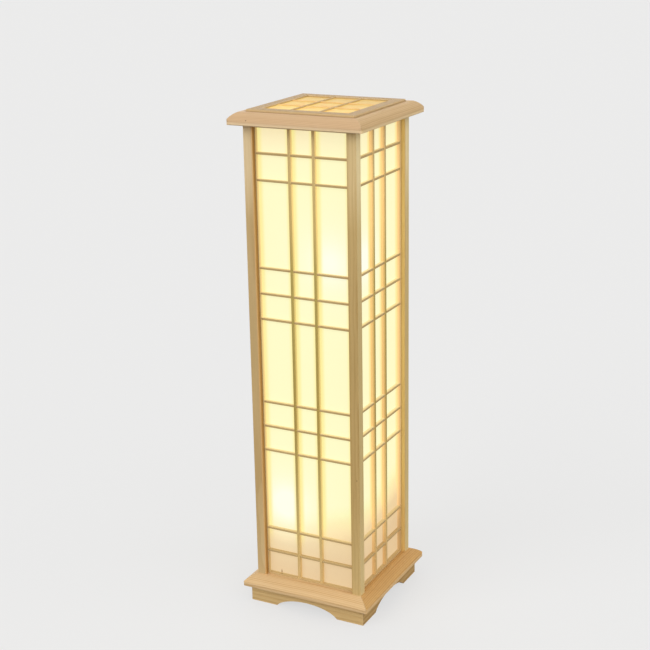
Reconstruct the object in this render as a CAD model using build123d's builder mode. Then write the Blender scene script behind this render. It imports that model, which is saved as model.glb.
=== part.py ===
from build123d import *
import os

# Andon floor lamp: a pine box of four posts and paper-backed lattice sides, on a moulded base
# with an arched apron, under a lift-off lid with a paper window. Millimetres, +Z up, origin on
# the floor at the centre of the footprint. The front faces -Y.

# Overall
lamp_height = 900.0
body_width = 208.8            # over the outer faces of the posts

# Base
base_overhang = 20.6          # moulding edge beyond the posts
base_edge_height = 7.0        # upright edge of the moulding
base_slope_rise = 13.8        # convex slope above that edge
base_slope_bulge = 1.7        # how far the slope bows out of its chord
base_ledge = 0.9              # moulding reaches in past the posts
base_corner_radius = 5.0      # moulding's corners seen from above
base_foot_arris = 0.8         # eased lower edge of the moulding
base_slope_arris = 1.6        # and the edge where its slope begins
apron_height = 31.2
apron_thickness = 14.0
apron_setback = 12.0          # apron face behind the moulding edge
arch_half_width = 64.0        # half of the arch's ellipse
arch_rise = 17.5              # top of the arch above the floor
arch_sink = 8.0               # centre of the ellipse below the floor
glue_block_size = 18.0
glue_block_lift = 2.0         # kept clear of the floor

# Bottom board and its screws
board_thickness = 9.0
board_fit = 0.3               # gap to the apron all round
board_screw_spread = 110.0    # between the two screws of one side
screw_head_radius = 3.6
screw_head_height = 2.4
screw_shank_radius = 1.8
screw_tip_length = 4.0
screw_length = 20.0
screw_fit = 0.1               # hole round a screw

# Posts
post_width = 17.5
post_arris = 1.6
rebate_lap = 2.4              # stile behind the lip of the post
panel_fit = 0.2               # stile to the wood of its rebate

# Lattice sides
stile_reveal = 1.9            # stile seen beside the post
lattice_depth = 7.5
lattice_arris = 0.5
top_rail_height = 5.4
bottom_rail_height = 3.0
upright_width = 5.0
middle_field = 40.0           # clear width between the two uprights
crossbar_height = 4.0
crossbar_setback = 1.0        # crossbars behind the face of the uprights
small_pane = 41.4             # clear height of a small pane
paper_thickness = 0.5
paper_margin = 1.0            # paper short of the ends of the stiles
paper_gap = 0.1               # between two sheets at a corner

# Lid
lid_overhang = 20.6           # moulding edge beyond the posts
lid_edge_height = 7.0
lid_slope_run = 15.5
lid_slope_rise = 13.6
lid_slope_bulge = 1.7
lid_corner_radius = 6.5
lid_foot_arris = 2.6          # eased lower edge of the moulding
lid_slope_arris = 6.0         # and the edge where its slope begins
lid_frame_height = 3.8        # raised frame on top of the moulding
lid_frame_setback = 25.0      # raised frame behind the moulding edge
lid_frame_width = 20.0
lid_frame_outer_arris = 2.0
lid_frame_inner_arris = 0.6
lid_frame_corner_radius = 2.0
lid_paper_lap = 2.7           # paper held under the raised frame
lid_bar_width = 2.6
lid_bar_height = 2.4
lid_crosswise_drop = 0.8      # crosswise bars below the lengthwise ones
cleat_length = 90.0
cleat_height = 12.0
cleat_thickness = 4.0
lid_fit = 0.8                 # cleats to the paper of the sides

# Battens that carry the lampholders
batten_width = 30.0
batten_depth = 24.0
upper_spot = (46.0, -42.0)
lower_spot = (-48.0, -48.0)
upper_holder_drop = 334.8     # foot of the upper holder below the top of the lamp
lower_batten_height = 79.0
batten_screw_spread = 16.0

# Lampholders
holder_radius = 19.0
holder_height = 38.0
holder_floor = 8.0
holder_arris = 1.5
shell_outer_radius = 14.6
shell_wall = 0.8
shell_fit = 0.6               # shell to the bore of the holder
contact_radius = 4.0
contact_height = 3.0
holder_screw_spread = 16.0
holder_screw_length = 22.0

# Bulbs
cap_fit = 0.6                 # cap to the screw shell
cap_tip_radius = 5.0
cap_tip_height = 2.5
cap_cone_height = 3.5
thread_crests = 6
thread_depth = 0.7
collar_clearance = 0.6        # collar above the lampholder
collar_foot_radius = 14.0
collar_height = 34.0
diffuser_radius = 30.0
diffuser_skirt = 12.0         # from the collar to the widest level
diffuser_wall = 1.5

# Leads, clips, terminal block and grommet
lead_radius = 2.5
lead_fit = 0.1                # lead to what it runs along
lead_board_bend = 20.0
lead_rise_bend = 15.0
clip_width = 14.0
clip_length = 6.0
clip_wall = 1.5
clip_spots = 4                # clips up the tall batten
terminal_spot = (0.0, 25.0)
terminal_length = 30.0
terminal_depth = 18.0
terminal_height = 14.0
terminal_well_radius = 2.4
terminal_well_depth = 5.0
terminal_well_spacing = 9.0
grommet_inset = 32.7          # from the back edge of the board
grommet_bore_radius = 3.5
grommet_neck_radius = 6.0
grommet_flange_radius = 8.5
grommet_flange_height = 2.0

# Levels and half widths that follow from those sizes
post_outer = body_width / 2
post_inner = post_outer - post_width
base_half = post_outer + base_overhang
base_inner = post_inner - base_ledge
apron_half = base_half - apron_setback
apron_inner = apron_half - apron_thickness
base_top = apron_height + base_edge_height + base_slope_rise
board_top = apron_height
board_bottom = board_top - board_thickness
board_half = apron_inner - board_fit
grommet_spot = (0.0, board_half - grommet_inset)

lid_half = post_outer + lid_overhang
lid_top = lamp_height - lid_frame_height
lid_foot = lid_top - lid_slope_rise - lid_edge_height
lid_frame_outer = lid_half - lid_frame_setback
window_half = lid_frame_outer - lid_frame_width
lid_bar_foot = lamp_height - lid_bar_height

lattice_back = post_inner + rebate_lap + panel_fit
lattice_front = lattice_back + lattice_depth
stile_outer = post_inner + rebate_lap
clear_half = post_inner - stile_reveal
stile_width = stile_outer - clear_half
panel_height = lid_foot - base_top
clear_foot = base_top + bottom_rail_height
clear_top = lid_foot - top_rail_height
lap_depth = lattice_depth / 2
upright_offset = (middle_field + upright_width) / 2
paper_inner = lattice_back - paper_thickness
cleat_outer = paper_inner - lid_fit
lid_inner = cleat_outer - cleat_thickness

upper_holder_foot = lamp_height - upper_holder_drop
lower_holder_foot = board_top + lower_batten_height
shell_inner_radius = shell_outer_radius - shell_wall
shell_height = holder_height - holder_floor
cap_radius = shell_inner_radius - cap_fit
cap_height = shell_height - contact_height + collar_clearance
thread_pitch = (cap_height - cap_tip_height - cap_cone_height) / thread_crests
collar_top_radius = (diffuser_radius**2 - diffuser_skirt**2) ** 0.5
lead_lift = lead_radius + lead_fit

# Pane heights from the top down: two small ones, then a large one, again and again, and two
# small ones at the foot. The large panes share what the small ones leave.
panes = ["small", "small", "large"] * 3 + ["small", "small"]
crossbar_count = len(panes) - 1
clear_height = clear_top - clear_foot
small_pane_total = panes.count("small") * small_pane
large_pane_total = clear_height - crossbar_count * crossbar_height - small_pane_total
pane_height = {"small": small_pane, "large": large_pane_total / panes.count("large")}

crossbar_levels = []
level = clear_top
for pane in panes[:-1]:
    level -= pane_height[pane] + crossbar_height
    crossbar_levels.append(level + crossbar_height / 2)

# The four sides, each by the turn that brings the front round to it
sides = {"front": 0, "right": 90, "back": 180, "left": 270}
corners = {"front_left": 0, "front_right": 90, "back_right": 180, "back_left": 270}


def plan_plane(turn, height):
    # Level plane with its x along the side and its y pointing inwards
    return Plane(origin=(0, 0, height), x_dir=Vector(1, 0, 0).rotate(Axis.Z, turn), z_dir=(0, 0, 1))


def section_plane(turn):
    # Upright plane across the middle of a side, x inwards and y up
    side = plan_plane(turn, 0)
    return Plane(origin=(0, 0, 0), x_dir=side.y_dir, z_dir=side.x_dir)


def face_plane(turn, distance):
    # Upright plane along a side, this far from the lamp's axis, facing out, x along and y up
    side = plan_plane(turn, 0)
    return Plane(origin=side.y_dir * -distance, x_dir=side.x_dir, z_dir=side.y_dir * -1)


def turning_plane(spot, height):
    # Upright plane through a spot of the plan, for shapes turned about the vertical there
    return Plane(origin=(*spot, height), x_dir=(1, 0, 0), z_dir=(0, -1, 0))


def upright_axis(spot):
    return Axis((*spot, 0), (0, 0, 1))


def mitre_wedge(turn):
    # The quarter of the plan between the two diagonals, which mitres the ends of a side
    with BuildSketch(plan_plane(turn, 0)) as wedge:
        with BuildLine():
            Polyline((0, 0), (-body_width, -body_width), (body_width, -body_width), close=True)
        make_face()
    return wedge.sketch


def save(piece, name):
    piece.label = name
    export_step(piece, f"parts/{name}.step")


def wood_screw(spot, head_level, length, up=1, clearance=0.0):
    # Countersunk screw driven up or down from its head, or its hole when it has a clearance
    with BuildPart() as screw:
        with BuildSketch(turning_plane(spot, head_level)):
            with BuildLine():
                Polyline(
                    (0, 0),
                    (screw_head_radius + clearance, 0),
                    (screw_shank_radius + clearance, up * screw_head_height),
                    (screw_shank_radius + clearance, up * (length - screw_tip_length)),
                    (0, up * (length + clearance)),
                    close=True,
                )
            make_face()
        revolve(axis=upright_axis(spot))
    return screw.part


def spread(spot, distance):
    # Two places side by side about a spot
    x, y = spot
    return [(x - distance / 2, y), (x + distance / 2, y)]


def moulding_screw_spots(turn):
    # Two screws of one side, in the strip where the board laps under the moulding
    strip = (base_inner + board_half) / 2
    plane = plan_plane(turn, 0)
    points = [plane.from_local_coords(Vector(*place)) for place in spread((0, -strip), board_screw_spread)]
    return [(point.X, point.Y) for point in points]


batten_screw_spots = spread(upper_spot, batten_screw_spread) + spread(lower_spot, batten_screw_spread)
side_screw_spots = [spot for turn in sides.values() for spot in moulding_screw_spots(turn)]


# Base

def moulding(turn, outer, inner, foot, edge, run, rise, bulge, foot_arris, slope_arris, corner):
    # Mitred length with an upright edge, a convex slope and a flat top, rounded at the corners
    top = foot + edge + rise
    slope_foot = (-outer, foot + edge)
    slope_top = (-outer + run, top)
    with BuildPart() as length:
        with BuildSketch(section_plane(turn)) as profile:
            with BuildLine():
                Polyline(slope_top, (-inner, top), (-inner, foot), (-outer, foot), slope_foot)
                SagittaArc(slope_foot, slope_top, bulge)
            make_face()
            fillet(profile.vertices().group_by(Axis.X)[0].sort_by(Axis.Y)[-1], slope_arris)
            fillet(profile.vertices().group_by(Axis.X)[0].sort_by(Axis.Y)[0], foot_arris)
        extrude(amount=outer, both=True)
        extrude(mitre_wedge(turn), amount=lamp_height, mode=Mode.INTERSECT)
        with BuildSketch(plan_plane(turn, 0)) as plan:
            Rectangle(2 * outer, 2 * outer)
            fillet(plan.vertices(), corner)
        extrude(amount=lamp_height, mode=Mode.INTERSECT)
    return length


def base_moulding(turn):
    length = moulding(
        turn,
        outer=base_half,
        inner=base_inner,
        foot=apron_height,
        edge=base_edge_height,
        run=base_overhang,
        rise=base_slope_rise,
        bulge=base_slope_bulge,
        foot_arris=base_foot_arris,
        slope_arris=base_slope_arris,
        corner=base_corner_radius,
    )
    with length:
        for spot in moulding_screw_spots(turn):
            add(wood_screw(spot, board_bottom, screw_length, clearance=screw_fit), mode=Mode.SUBTRACT)
    return length.part


def apron_board(turn):
    with BuildPart() as board:
        with BuildSketch(plan_plane(turn, 0)):
            with Locations((0, -(apron_half + apron_inner) / 2)):
                Rectangle(2 * apron_half, apron_thickness)
        extrude(amount=apron_height)
        extrude(mitre_wedge(turn), amount=apron_height, mode=Mode.INTERSECT)
        with BuildSketch(face_plane(turn, apron_half)):
            with Locations((0, -arch_sink)):
                Ellipse(arch_half_width, arch_rise + arch_sink)
        extrude(amount=-apron_thickness, mode=Mode.SUBTRACT)
    return board.part


def corner_glue_blocks():
    middle = apron_inner - glue_block_size / 2
    with BuildPart() as blocks:
        with BuildSketch(Plane.XY.offset(glue_block_lift)):
            with GridLocations(2 * middle, 2 * middle, 2, 2):
                Rectangle(glue_block_size, glue_block_size)
        extrude(amount=board_bottom - glue_block_lift)
    return blocks.part


def bottom_board():
    with BuildPart() as board:
        with BuildSketch(Plane.XY.offset(board_bottom)):
            Rectangle(2 * board_half, 2 * board_half)
            with Locations(grommet_spot):
                Circle(grommet_neck_radius, mode=Mode.SUBTRACT)
        extrude(amount=board_thickness)
        for spot in side_screw_spots + batten_screw_spots:
            add(wood_screw(spot, board_bottom, screw_length, clearance=screw_fit), mode=Mode.SUBTRACT)
    return board.part


def board_screws():
    with BuildPart() as screws:
        for spot in side_screw_spots + batten_screw_spots:
            add(wood_screw(spot, board_bottom, screw_length))
    return screws.part


def cord_grommet():
    # Rubber ring with a flange above and below the board
    total = board_thickness + 2 * grommet_flange_height
    with BuildPart() as grommet:
        with BuildSketch(Plane.XY.offset(board_bottom - grommet_flange_height)):
            with Locations(grommet_spot):
                Circle(grommet_neck_radius)
        extrude(amount=total)
        for foot in (board_bottom - grommet_flange_height, board_top):
            with BuildSketch(Plane.XY.offset(foot)):
                with Locations(grommet_spot):
                    Circle(grommet_flange_radius)
            extrude(amount=grommet_flange_height)
        with BuildSketch(Plane.XY.offset(board_bottom - grommet_flange_height)):
            with Locations(grommet_spot):
                Circle(grommet_bore_radius)
        extrude(amount=total, mode=Mode.SUBTRACT)
    return grommet.part


# Posts

def post(turn):
    # Square post with two rebates, so that a lip stands in front of each side's stile
    middle = (post_outer + post_inner) / 2
    rebate_width = lattice_back - post_inner
    rebate_reach = lattice_front - post_inner
    with BuildPart() as upright:
        with BuildSketch(plan_plane(turn, base_top)) as section:
            with Locations((-middle, -middle)):
                Rectangle(post_width, post_width)
            with Locations((-post_inner, -post_inner)):
                Rectangle(rebate_width, rebate_reach, align=(Align.MAX, Align.MAX), mode=Mode.SUBTRACT)
                Rectangle(rebate_reach, rebate_width, align=(Align.MAX, Align.MAX), mode=Mode.SUBTRACT)
            fillet(section.vertices().sort_by_distance((0, 0, 0))[-3:], post_arris)
        extrude(amount=panel_height)
    return upright.part


# Lattice sides

def panel_frame(turn):
    # Two stiles with a rail between them at the head and at the foot
    back = face_plane(turn, lattice_back)
    stile_middle = (stile_outer + clear_half) / 2
    with BuildPart() as stiles:
        with BuildSketch(back):
            with Locations((-stile_middle, base_top), (stile_middle, base_top)):
                Rectangle(stile_width, panel_height, align=(Align.CENTER, Align.MIN))
        extrude(amount=lattice_depth)
    with BuildPart() as rails:
        with BuildSketch(back):
            with Locations((0, base_top)):
                Rectangle(2 * clear_half, bottom_rail_height, align=(Align.CENTER, Align.MIN))
            with Locations((0, lid_foot)):
                Rectangle(2 * clear_half, top_rail_height, align=(Align.CENTER, Align.MAX))
        extrude(amount=lattice_depth)
    return Compound(children=[*stiles.part.solids(), *rails.part.solids()])


def lattice_uprights(turn):
    # Notched at the back, half through, where the crossbars pass
    with BuildPart() as uprights:
        with BuildSketch(plan_plane(turn, clear_foot)) as section:
            with Locations((-upright_offset, -lattice_back), (upright_offset, -lattice_back)):
                Rectangle(upright_width, lattice_depth, align=(Align.CENTER, Align.MAX))
            fillet(section.vertices().group_by(Axis.Y)[0], lattice_arris)
        extrude(amount=clear_height)
        with BuildSketch(face_plane(turn, lattice_back)):
            with Locations(*[(0, level) for level in crossbar_levels]):
                Rectangle(2 * clear_half, crossbar_height)
        extrude(amount=lap_depth, mode=Mode.SUBTRACT)
    return uprights.part


def lattice_crossbars(turn):
    # Notched at the front where they pass behind the uprights
    with BuildPart() as crossbars:
        with BuildSketch(section_plane(turn)) as section:
            with Locations(*[(-lattice_back, level) for level in crossbar_levels]):
                Rectangle(lattice_depth - crossbar_setback, crossbar_height, align=(Align.MAX, Align.CENTER))
            fillet(section.vertices().group_by(Axis.X)[0], lattice_arris)
        extrude(amount=clear_half, both=True)
        with BuildSketch(face_plane(turn, lattice_back + lap_depth)):
            with Locations((-upright_offset, clear_foot), (upright_offset, clear_foot)):
                Rectangle(upright_width, clear_height, align=(Align.CENTER, Align.MIN))
        extrude(amount=lap_depth, mode=Mode.SUBTRACT)
    return crossbars.part


def side_paper(turn):
    with BuildPart() as sheet:
        with BuildSketch(face_plane(turn, paper_inner)):
            with Locations((0, base_top + paper_margin)):
                Rectangle(
                    2 * (paper_inner - paper_gap),
                    panel_height - 2 * paper_margin,
                    align=(Align.CENTER, Align.MIN),
                )
        extrude(amount=paper_thickness)
    return sheet.part


# Lid

def lid_moulding(turn):
    length = moulding(
        turn,
        outer=lid_half,
        inner=lid_inner,
        foot=lid_foot,
        edge=lid_edge_height,
        run=lid_slope_run,
        rise=lid_slope_rise,
        bulge=lid_slope_bulge,
        foot_arris=lid_foot_arris,
        slope_arris=lid_slope_arris,
        corner=lid_corner_radius,
    )
    return length.part


def lid_frame_strip(turn):
    # Mitred strip of the raised frame, rebated underneath for the paper
    rebate = lid_paper_lap + panel_fit
    with BuildPart() as strip:
        with BuildSketch(section_plane(turn)) as profile:
            with Locations((-window_half, lid_top)):
                Rectangle(lid_frame_width, lid_frame_height, align=(Align.MAX, Align.MIN))
                Rectangle(rebate, lid_bar_foot - lid_top, align=(Align.MAX, Align.MIN), mode=Mode.SUBTRACT)
            fillet(profile.vertices().group_by(Axis.Y)[-1].sort_by(Axis.X)[0], lid_frame_outer_arris)
            fillet(profile.vertices().group_by(Axis.Y)[-1].sort_by(Axis.X)[-1], lid_frame_inner_arris)
        extrude(amount=lid_frame_outer, both=True)
        extrude(mitre_wedge(turn), amount=lamp_height, mode=Mode.INTERSECT)
        with BuildSketch(plan_plane(turn, 0)) as plan:
            Rectangle(2 * lid_frame_outer, 2 * lid_frame_outer)
            fillet(plan.vertices(), lid_frame_corner_radius)
        extrude(amount=lamp_height, mode=Mode.INTERSECT)
    return strip.part


def lid_frame():
    return Compound(children=[lid_frame_strip(turn).solid() for turn in sides.values()])


lid_bar_offset = window_half / 3
lid_lap_level = lamp_height - lid_bar_height / 2


def lid_bars_lengthwise():
    # Front to back, notched underneath for the crosswise bars
    with BuildPart() as bars:
        with BuildSketch(Plane.XY.offset(lid_bar_foot)):
            with Locations((-lid_bar_offset, 0), (lid_bar_offset, 0)):
                Rectangle(lid_bar_width, 2 * window_half)
        extrude(amount=lid_bar_height)
        with BuildSketch(Plane.XY.offset(lid_bar_foot)):
            with Locations((0, -lid_bar_offset), (0, lid_bar_offset)):
                Rectangle(2 * window_half, lid_bar_width)
        extrude(amount=lid_lap_level - lid_bar_foot, mode=Mode.SUBTRACT)
    return bars.part


def lid_bars_crosswise():
    # Left to right, a little lower, notched on top for the lengthwise bars
    with BuildPart() as bars:
        with BuildSketch(Plane.XY.offset(lid_bar_foot)):
            with Locations((0, -lid_bar_offset), (0, lid_bar_offset)):
                Rectangle(2 * window_half, lid_bar_width)
        extrude(amount=lid_bar_height - lid_crosswise_drop)
        with BuildSketch(Plane.XY.offset(lid_lap_level)):
            with Locations((-lid_bar_offset, 0), (lid_bar_offset, 0)):
                Rectangle(lid_bar_width, 2 * window_half)
        extrude(amount=lid_bar_height, mode=Mode.SUBTRACT)
    return bars.part


def lid_paper():
    with BuildPart() as sheet:
        with BuildSketch(Plane.XY.offset(lid_bar_foot - paper_thickness)):
            Rectangle(2 * (window_half + lid_paper_lap), 2 * (window_half + lid_paper_lap))
        extrude(amount=paper_thickness)
    return sheet.part


def lid_cleats():
    # Strips under the lid, one inside each side, that keep it centred
    middle = (cleat_outer + lid_inner) / 2
    with BuildPart() as cleats:
        with BuildSketch(Plane.XY.offset(lid_foot)):
            with Locations((0, -middle), (0, middle)):
                Rectangle(cleat_length, cleat_thickness)
            with Locations((-middle, 0), (middle, 0)):
                Rectangle(cleat_thickness, cleat_length)
        extrude(amount=-cleat_height)
    return cleats.part


# Battens, lampholders and bulbs

def batten(spot, holder_foot):
    with BuildPart() as stick:
        with BuildSketch(Plane.XY.offset(board_top)):
            with Locations(spot):
                Rectangle(batten_width, batten_depth)
        extrude(amount=holder_foot - board_top)
        for place in spread(spot, batten_screw_spread):
            add(wood_screw(place, board_bottom, screw_length, clearance=screw_fit), mode=Mode.SUBTRACT)
        for hole in holder_screw_pair(spot, holder_foot, screw_fit):
            add(hole, mode=Mode.SUBTRACT)
    return stick.part


def holder_screw_pair(spot, holder_foot, clearance=0.0):
    # Two screws from the floor of the holder down into the batten
    level = holder_foot + holder_floor
    places = spread(spot, holder_screw_spread)
    return [wood_screw(place, level, holder_screw_length, up=-1, clearance=clearance) for place in places]


def lampholder(spot, holder_foot):
    bore_radius = shell_outer_radius + shell_fit
    with BuildPart() as holder:
        with BuildSketch(Plane.XY.offset(holder_foot)):
            with Locations(spot):
                Circle(holder_radius)
        extrude(amount=holder_height)
        fillet(holder.edges().group_by(Axis.Z)[-1], holder_arris)
        with BuildSketch(Plane.XY.offset(holder_foot + holder_floor)):
            with Locations(spot):
                Circle(bore_radius)
        extrude(amount=holder_height, mode=Mode.SUBTRACT)
        for hole in holder_screw_pair(spot, holder_foot, screw_fit):
            add(hole, mode=Mode.SUBTRACT)
    return holder.part


def holder_contacts(spot, holder_foot):
    # Screw shell and centre contact, both on the floor of the holder
    with BuildPart() as contacts:
        with BuildSketch(Plane.XY.offset(holder_foot + holder_floor)):
            with Locations(spot):
                Circle(shell_outer_radius)
                Circle(shell_inner_radius, mode=Mode.SUBTRACT)
        extrude(amount=shell_height)
        with BuildSketch(Plane.XY.offset(holder_foot + holder_floor)):
            with Locations(spot):
                Circle(contact_radius)
        extrude(amount=contact_height)
    return contacts.part


def holder_screws():
    with BuildPart() as screws:
        for spot, foot in ((upper_spot, upper_holder_foot), (lower_spot, lower_holder_foot)):
            for screw in holder_screw_pair(spot, foot):
                add(screw)
    return screws.part


def bulb_foot(holder_foot):
    return holder_foot + holder_floor + contact_height


def bulb_cap(spot, holder_foot):
    # Contact tip, insulating cone, then rings that stand for the screw thread
    cone_top = cap_tip_height + cap_cone_height
    thread = []
    for crest in range(thread_crests):
        foot = cone_top + crest * thread_pitch
        thread.append((cap_radius - thread_depth, foot))
        thread.append((cap_radius, foot + thread_pitch / 2))
    with BuildPart() as cap:
        with BuildSketch(turning_plane(spot, bulb_foot(holder_foot))):
            with BuildLine():
                Polyline(
                    (0, 0),
                    (cap_tip_radius, 0),
                    (cap_tip_radius, cap_tip_height),
                    *thread,
                    (cap_radius - thread_depth, cap_height),
                    (0, cap_height),
                    close=True,
                )
            make_face()
        revolve(axis=upright_axis(spot))
    return cap.part


def bulb_collar(spot, holder_foot):
    with BuildPart() as collar:
        with BuildSketch(turning_plane(spot, bulb_foot(holder_foot) + cap_height)):
            with BuildLine():
                Polyline(
                    (0, 0),
                    (collar_foot_radius, 0),
                    (collar_top_radius, collar_height),
                    (0, collar_height),
                    close=True,
                )
            make_face()
        revolve(axis=upright_axis(spot))
    return collar.part


def bulb_diffuser(spot, holder_foot):
    # Opal dome, hollow, standing on the collar
    foot = bulb_foot(holder_foot) + cap_height + collar_height
    with BuildPart() as diffuser:
        with Locations((*spot, foot + diffuser_skirt)):
            Sphere(diffuser_radius)
            Sphere(diffuser_radius - diffuser_wall, mode=Mode.SUBTRACT)
        split(bisect_by=Plane.XY.offset(foot), keep=Keep.TOP)
    return diffuser.part


# Leads, clips and terminal block

def lead_rise(spot):
    # Where a lead climbs, against the back face of its batten
    x, y = spot
    return (x, y + batten_depth / 2 + lead_lift)


def lead(spot, holder_foot, way):
    # From the end of the terminal block along the board, then up the batten to the holder
    terminal_x, terminal_y = terminal_spot
    rise_x, rise_y = lead_rise(spot)
    level = board_top + lead_lift
    start = Vector(terminal_x + way * terminal_length / 2, terminal_y, level)
    points = [start, (rise_x, terminal_y, level), (rise_x, rise_y, level), (rise_x, rise_y, holder_foot)]
    with BuildPart() as tube:
        with BuildLine():
            FilletPolyline(*points, radius=[lead_board_bend, lead_rise_bend])
        with BuildSketch(Plane(origin=start, z_dir=(way, 0, 0))):
            Circle(lead_radius)
        sweep()
    return tube.part


def clip(plane):
    # Saddle over a lead that runs along the plane's normal, its foot on the plane's x axis
    channel = lead_radius + lead_fit
    with BuildPart() as saddle:
        with BuildSketch(plane):
            Rectangle(clip_width, lead_lift + channel + clip_wall, align=(Align.CENTER, Align.MIN))
            with Locations((0, lead_lift)):
                Circle(channel, mode=Mode.SUBTRACT)
            Rectangle(2 * channel, lead_lift, align=(Align.CENTER, Align.MIN), mode=Mode.SUBTRACT)
        extrude(amount=clip_length / 2, both=True)
    return saddle.part


def lead_clips():
    with BuildPart() as clips:
        for spot in (upper_spot, lower_spot):
            rise_x, rise_y = lead_rise(spot)
            run_middle = (terminal_spot[1] + rise_y) / 2
            add(clip(Plane(origin=(rise_x, run_middle, board_top), x_dir=(1, 0, 0), z_dir=(0, -1, 0))))
        rise_x, rise_y = lead_rise(upper_spot)
        clip_pitch = (upper_holder_foot - board_top) / (clip_spots + 1)
        for step in range(1, clip_spots + 1):
            foot = (rise_x, rise_y - lead_lift, board_top + step * clip_pitch)
            add(clip(Plane(origin=foot, x_dir=(1, 0, 0), z_dir=(0, 0, 1))))
    return clips.part


def terminal_block():
    with BuildPart() as block:
        with BuildSketch(Plane.XY.offset(board_top)):
            with Locations(terminal_spot):
                Rectangle(terminal_length, terminal_depth)
        extrude(amount=terminal_height)
        with BuildSketch(Plane.XY.offset(board_top + terminal_height)):
            with Locations(terminal_spot):
                with GridLocations(terminal_well_spacing, terminal_well_spacing, 3, 2):
                    Circle(terminal_well_radius)
        extrude(amount=-terminal_well_depth, mode=Mode.SUBTRACT)
    return block.part


os.makedirs("parts", exist_ok=True)

for name, turn in sides.items():
    save(apron_board(turn), f"base_apron_{name}")
    save(base_moulding(turn), f"base_moulding_{name}")
    save(panel_frame(turn), f"{name}_panel_frame")
    save(lattice_uprights(turn), f"{name}_lattice_uprights")
    save(lattice_crossbars(turn), f"{name}_lattice_crossbars")
    save(side_paper(turn), f"{name}_paper")
    save(lid_moulding(turn), f"lid_moulding_{name}")

for name, turn in corners.items():
    save(post(turn), f"post_{name}")

save(corner_glue_blocks(), "corner_glue_blocks")
save(bottom_board(), "bottom_board")
save(board_screws(), "board_screws")
save(cord_grommet(), "cord_grommet")

save(lid_frame(), "lid_frame")
save(lid_bars_lengthwise(), "lid_bars_lengthwise")
save(lid_bars_crosswise(), "lid_bars_crosswise")
save(lid_paper(), "lid_paper")
save(lid_cleats(), "lid_cleats")

for name, spot, foot, way in (
    ("upper", upper_spot, upper_holder_foot, 1),
    ("lower", lower_spot, lower_holder_foot, -1),
):
    save(batten(spot, foot), f"{name}_batten")
    save(lampholder(spot, foot), f"{name}_lampholder")
    save(holder_contacts(spot, foot), f"{name}_holder_contacts")
    save(bulb_cap(spot, foot), f"{name}_bulb_cap")
    save(bulb_collar(spot, foot), f"{name}_bulb_collar")
    save(bulb_diffuser(spot, foot), f"{name}_bulb_diffuser")
    save(lead(spot, foot, way), f"{name}_lead")

save(holder_screws(), "holder_screws")
save(lead_clips(), "lead_clips")
save(terminal_block(), "terminal_block")
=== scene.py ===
import math
import bpy
from mathutils import Matrix, Vector


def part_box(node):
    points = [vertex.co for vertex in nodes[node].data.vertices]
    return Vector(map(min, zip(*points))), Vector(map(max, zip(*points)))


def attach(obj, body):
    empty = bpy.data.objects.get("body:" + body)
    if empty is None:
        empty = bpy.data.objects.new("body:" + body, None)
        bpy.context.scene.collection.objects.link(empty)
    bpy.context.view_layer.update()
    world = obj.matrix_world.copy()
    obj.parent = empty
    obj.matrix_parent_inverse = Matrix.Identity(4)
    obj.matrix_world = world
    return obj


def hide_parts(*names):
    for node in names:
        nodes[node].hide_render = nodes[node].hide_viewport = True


# Andon floor lamp: pine posts, lattice and mouldings round lit paper. Metres, +Z up, front faces -Y.

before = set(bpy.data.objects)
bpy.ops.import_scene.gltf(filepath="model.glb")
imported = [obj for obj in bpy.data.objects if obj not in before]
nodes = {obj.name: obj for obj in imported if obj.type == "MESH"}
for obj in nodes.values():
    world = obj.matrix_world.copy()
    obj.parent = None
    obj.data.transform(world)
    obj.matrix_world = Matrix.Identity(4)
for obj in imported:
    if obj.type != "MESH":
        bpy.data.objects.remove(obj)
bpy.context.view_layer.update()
sides = {"front": 0, "right": 90, "back": 180, "left": 270}
lampHeight = 0.9
print("frame: loaded", len(nodes), "CAD nodes")


# Small helpers for node trees

def colour(code):
    # "d8bc94" as written on screen, to the linear numbers that a socket takes
    parts = [int(code[i:i + 2], 16) / 255 for i in (0, 2, 4)]
    return tuple(c / 12.92 if c <= 0.04045 else ((c + 0.055) / 1.055) ** 2.4 for c in parts) + (1.0,)


def addNode(tree, kind, inputs=None, **settings):
    node = tree.nodes.new(kind)
    for key, value in settings.items():
        setattr(node, key, value)
    for key, value in (inputs or {}).items():
        if isinstance(value, bpy.types.NodeSocket):
            tree.links.new(value, node.inputs[key])
        elif value is not None:
            node.inputs[key].default_value = value
    return node


def treeOf(*values):
    # The tree that the sockets among the values stand in
    return next(value.id_data for value in values if isinstance(value, bpy.types.NodeSocket))


def calc(operation, a, b=0.0, c=0.0):
    return addNode(treeOf(a, b, c), "ShaderNodeMath", {0: a, 1: b, 2: c}, operation=operation).outputs[0]


def vectorCalc(operation, a, b=None, scale=None):
    node = addNode(treeOf(a, b, scale), "ShaderNodeVectorMath", {0: a, 1: b, "Scale": scale},
                   operation=operation)
    return node.outputs["Value" if operation in ("LENGTH", "DISTANCE", "DOT_PRODUCT") else "Vector"]


def times(a, b):
    return calc("MULTIPLY", a, b)


def plus(a, b):
    return calc("ADD", a, b)


def minus(a, b):
    return calc("SUBTRACT", a, b)


def over(a, b):
    return calc("DIVIDE", a, b)


def absolute(a):
    return calc("ABSOLUTE", a)


def scaled(vector, scale):
    return vectorCalc("SCALE", vector, scale=scale)


def split(vector):
    return addNode(treeOf(vector), "ShaderNodeSeparateXYZ", {0: vector}).outputs


def surfaceNormal(tree):
    return addNode(tree, "ShaderNodeNewGeometry").outputs["Normal"]


def facingUp(tree):
    return split(surfaceNormal(tree))[2]


def objectPlace(tree):
    return addNode(tree, "ShaderNodeTexCoord").outputs["Object"]


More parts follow.
